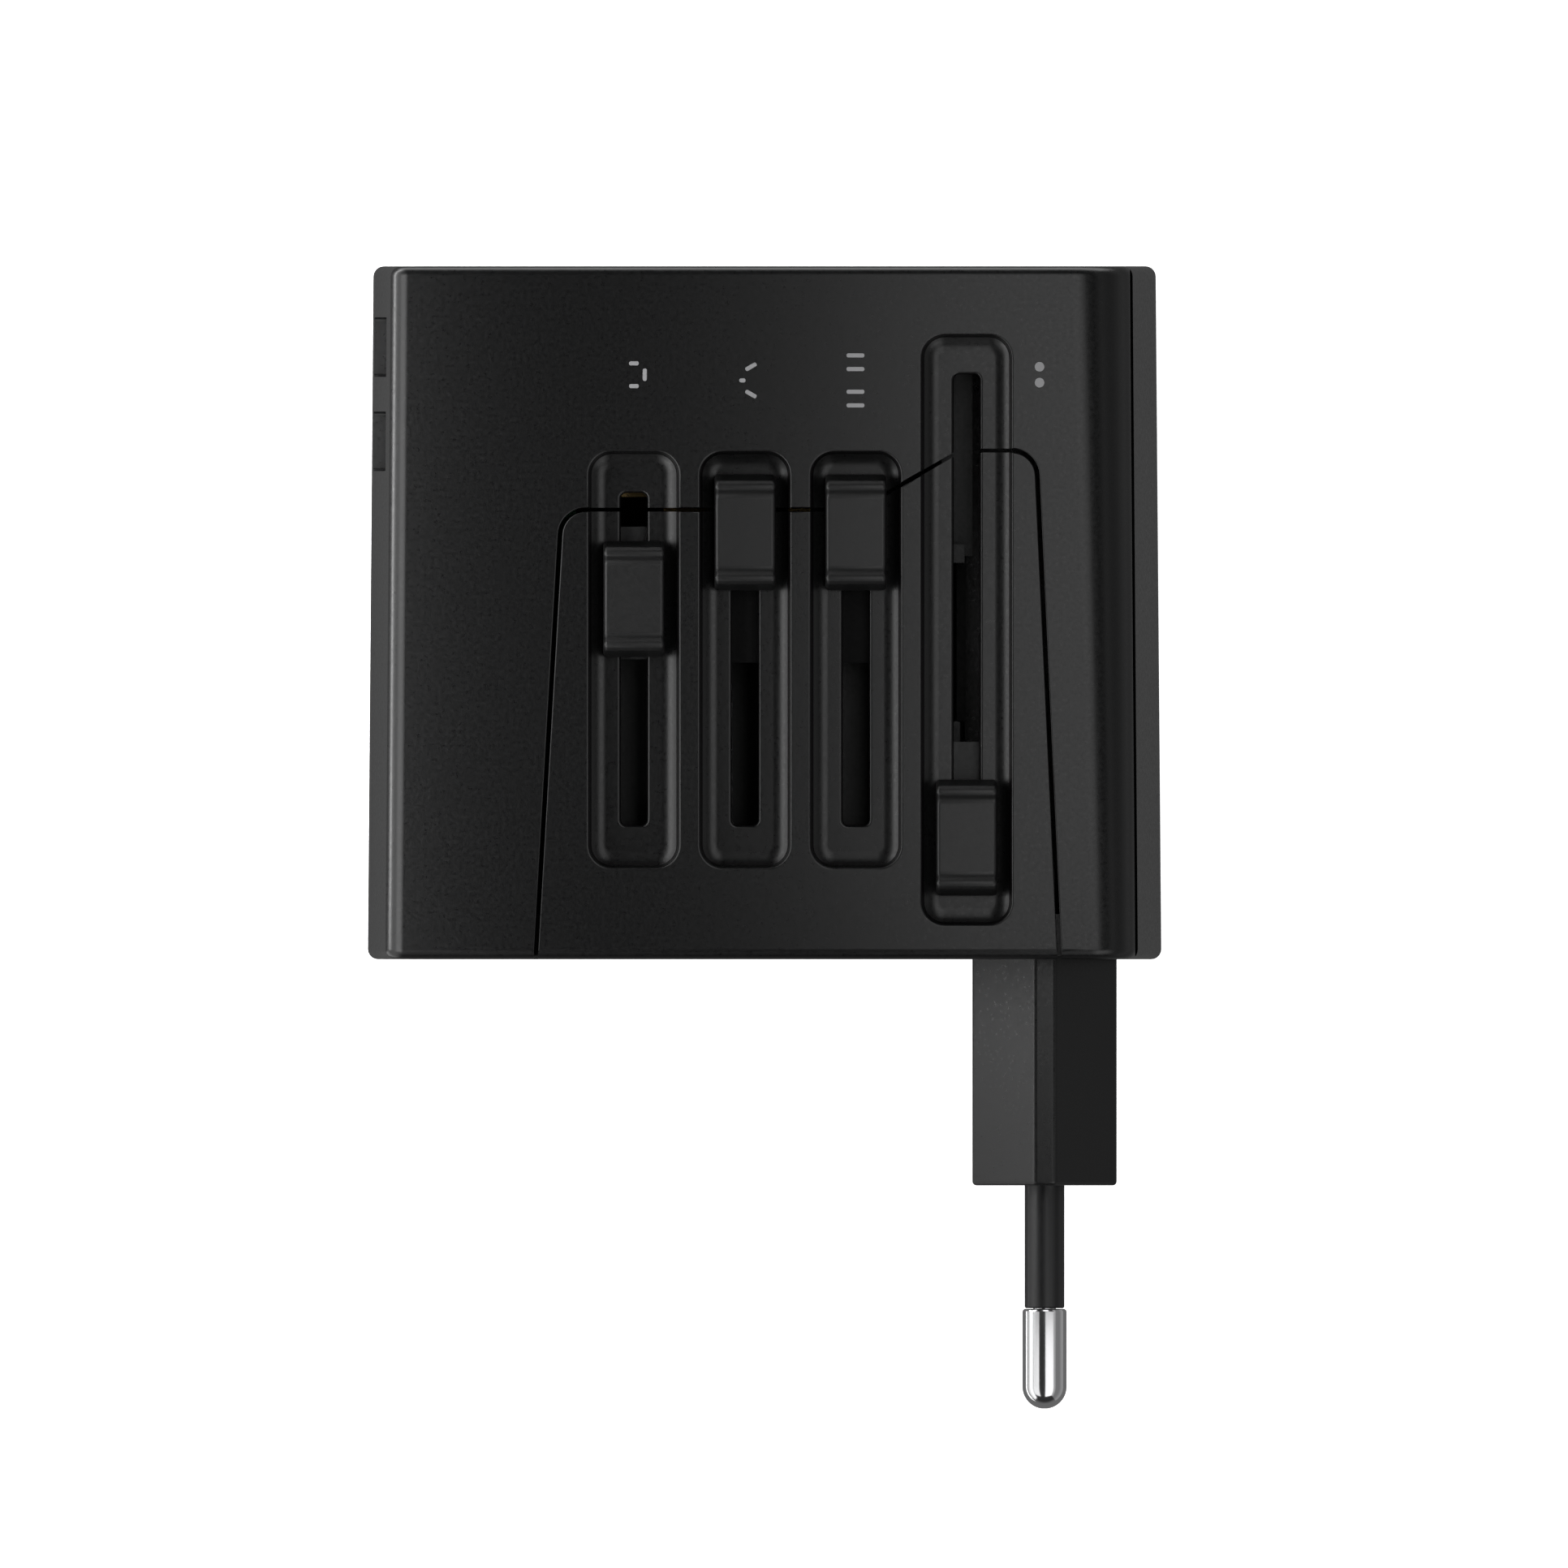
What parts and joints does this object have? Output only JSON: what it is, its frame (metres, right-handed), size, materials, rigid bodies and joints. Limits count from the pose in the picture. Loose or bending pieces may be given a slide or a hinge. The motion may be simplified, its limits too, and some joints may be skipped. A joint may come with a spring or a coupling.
{
  "type": "universal travel adapter",
  "caption": "Black block-shaped travel adapter with thumb slides that push out pins of several plug types, a universal socket and USB charging ports.",
  "frame": {"origin": "middle of the flat back face that the adapter lies on", "axes": "+Z out of the slider face, +Y towards the socket end, -Y the way the plugs slide out, +X towards the side of the European plug block"},
  "size_m": [0.0698, 0.1006, 0.0504],
  "materials": {
    "case": "fine matte moulded grain, black",
    "knob": "satin moulded black",
    "sleeve": "smooth black insulation",
    "carrier": "plain moulded dark grey",
    "nickel": "bright nickel plating",
    "brass": "plain strip",
    "steel": "plain zinc plated",
    "board": "solder mask",
    "tongue": "moulded white",
    "winding": "polyester tape",
    "can": "shrink sleeve",
    "lens": "clear red lens",
    "ceramic": "fuse body with metal caps"
  },
  "bodies": {
    "housing": {"front_shell": "case", "back_shell": "case", "slider_panel": "case", "plug_face_plate": "case", "socket_face_plate": "case", "inner_chassis": "carrier", "line_contact": "brass", "neutral_contact": "brass", "line_busbar": "brass", "neutral_busbar": "brass", "case_screw_1": "steel", "case_screw_2": "steel", "case_screw_3": "steel", "chassis_screw_1": "steel", "chassis_screw_2": "steel", "usb_shell_1": "steel", "usb_shell_2": "steel", "shutter_spring": "steel", "usb_board": "board", "usb_tongue_1": "tongue", "usb_tongue_2": "tongue", "usb_transformer": "winding", "usb_capacitor_1": "can", "usb_capacitor_2": "can", "led_lens": "lens"},
    "eu_slide": {"eu_plug_block": "case", "eu_knob": "knob", "eu_sleeve_line": "sleeve", "eu_sleeve_neutral": "sleeve", "eu_carriage": "carrier", "eu_pin_line": "nickel", "eu_pin_neutral": "nickel"},
    "us_jp_slide": {"us_jp_knob": "knob", "us_jp_carriage": "carrier", "us_jp_blade_line": "nickel", "us_jp_blade_neutral": "nickel"},
    "aus_slide": {"aus_knob": "knob", "aus_carriage": "carrier", "aus_blade_line": "nickel", "aus_blade_neutral": "nickel"},
    "uk_slide": {"uk_knob": "knob", "uk_sleeve_line": "sleeve", "uk_sleeve_neutral": "sleeve", "uk_pin_earth": "sleeve", "uk_carriage": "carrier", "uk_pin_line": "nickel", "uk_pin_neutral": "nickel"},
    "shutter": {"shutter": "carrier"},
    "fuse_drawer": {"fuse_drawer": "case", "fuse_link": "ceramic"}
  },
  "joints": [
    {"name": "eu_slide_joint", "type": "slide", "parent": "housing", "child": "eu_slide", "axis": [0, 1, 0], "range_m": [0, 0.0375]},
    {"name": "us_jp_slide_joint", "type": "slide", "parent": "housing", "child": "us_jp_slide", "axis": [0, -1, 0], "range_m": [0, 0.0218]},
    {"name": "aus_slide_joint", "type": "slide", "parent": "housing", "child": "aus_slide", "axis": [0, -1, 0], "range_m": [0, 0.0218]},
    {"name": "uk_slide_joint", "type": "slide", "parent": "housing", "child": "uk_slide", "axis": [0, -1, 0], "range_m": [-0.0058, 0.017]},
    {"name": "shutter_joint", "type": "slide", "parent": "housing", "child": "shutter", "axis": [1, 0, 0], "range_m": [0, 0.0065], "stiffness_N_per_m": 30, "springref_m": -0.01, "deforming": ["shutter_spring"]},
    {"name": "fuse_drawer_joint", "type": "slide", "parent": "housing", "child": "fuse_drawer", "axis": [0, 1, 0], "range_m": [0, 0.01]}
  ]
}
